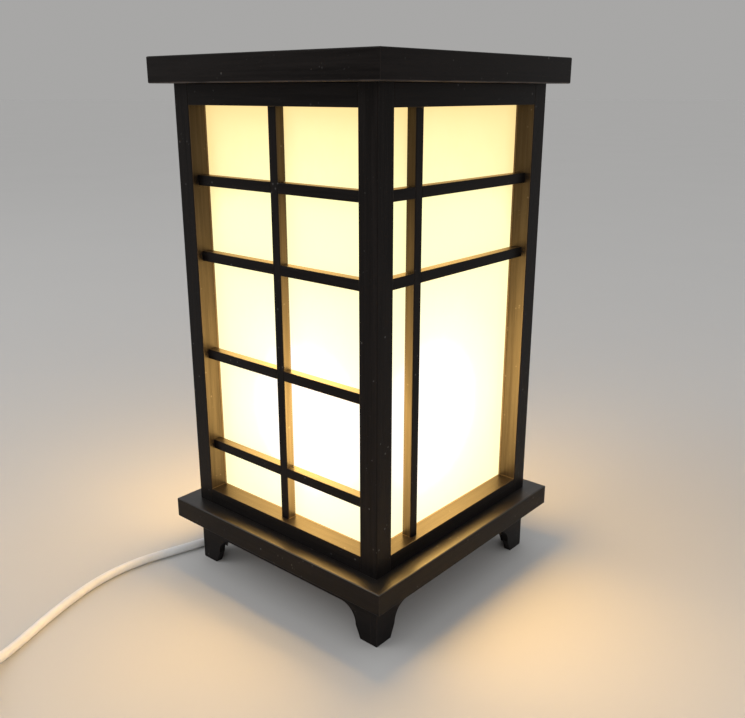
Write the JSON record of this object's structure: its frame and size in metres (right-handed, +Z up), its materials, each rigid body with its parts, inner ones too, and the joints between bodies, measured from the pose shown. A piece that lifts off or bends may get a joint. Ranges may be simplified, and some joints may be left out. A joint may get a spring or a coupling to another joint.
{
  "type": "japanese table lantern lamp",
  "caption": "Square black wooden lantern lamp with lattice over glowing translucent sheets, flat cap, bracket feet, screw-in bulb and white cord.",
  "frame": {"origin": "on the floor under the middle of the lantern", "axes": "+Z up, -Y the front with the full lattice, +X the right side"},
  "size_m": [0.2427, 0.5163, 0.35],
  "materials": {
    "black_wood": "black paint over fine-grained wood, satin",
    "plain_wood": "bare softwood",
    "glowing_sheet": "translucent paper-faced sheet, lit from behind",
    "brass": "plain brass",
    "cap_metal": "rolled thread",
    "frosted_glass": "frosted, lit",
    "dark_moulding": "dark moulded resin",
    "white_moulding": "white moulded plastic",
    "white_cord": "soft white sheath",
    "wire_insulation": "plain insulation",
    "dark_band": "woven band",
    "plated_pins": "nickel plate"
  },
  "bodies": {
    "lantern": {"back_crossbars": "black_wood", "back_lattice_upright": "black_wood", "back_sheet": "glowing_sheet", "base_board_back": "black_wood", "base_board_front": "black_wood", "base_board_left": "black_wood", "base_board_right": "black_wood", "base_panel": "plain_wood", "bottom_rail_back": "black_wood", "bottom_rail_front": "black_wood", "bottom_rail_left": "black_wood", "bottom_rail_right": "black_wood", "cap_board_back": "black_wood", "cap_board_front": "black_wood", "cap_board_left": "black_wood", "cap_board_right": "black_wood", "coil_tie": "dark_band", "cord_coil": "white_cord", "cord_grip": "white_moulding", "cord_lead": "white_cord", "cord_link": "white_cord", "cord_tail": "white_cord", "corner_blocks": "plain_wood", "dowels": "plain_wood", "foot_board_back": "black_wood", "foot_board_front": "black_wood", "foot_board_left": "black_wood", "foot_board_right": "black_wood", "front_crossbars": "black_wood", "front_lattice_upright": "black_wood", "front_sheet": "glowing_sheet", "holder_body": "dark_moulding", "holder_contact": "brass", "holder_shell": "brass", "holder_tube": "brass", "lead_cores": "wire_insulation", "left_crossbars": "black_wood", "left_lattice_upright": "black_wood", "left_sheet": "glowing_sheet", "plug_body": "white_moulding", "plug_pins": "plated_pins", "post_back_left": "black_wood", "post_back_right": "black_wood", "post_front_left": "black_wood", "post_front_right": "black_wood", "right_crossbars": "black_wood", "right_lattice_upright": "black_wood", "right_sheet": "glowing_sheet", "sheet_strips": "plain_wood", "switch_case": "white_moulding", "top_rail_back": "black_wood", "top_rail_front": "black_wood", "top_rail_left": "black_wood", "top_rail_right": "black_wood", "tube_nuts": "brass"},
    "bulb_tip": {"bulb_contact": "brass"},
    "bulb": {"bulb_cap": "cap_metal", "bulb_glass": "frosted_glass"},
    "rocker": {"switch_rocker": "white_moulding"}
  },
  "joints": [
    {"name": "bulb_lift", "type": "slide", "parent": "lantern", "child": "bulb_tip", "axis": [0, 0, 1], "range_m": [0, 0.01461]},
    {"name": "bulb_turn", "type": "hinge", "parent": "bulb_tip", "child": "bulb", "pos_m": [0, 0, 0.083], "axis": [0, 0, 1], "range_deg": [0, 1440]},
    {"name": "switch_rock", "type": "hinge", "parent": "lantern", "child": "rocker", "pos_m": [-0.05595, -0.29049, 0.014], "axis": [0.9107, 0.4131, 0], "range_deg": [0, 16]}
  ],
  "couplings": [
    {"joint": "bulb_lift", "follows": "bulb_turn", "m_per_rad": 0.0005775}
  ]
}
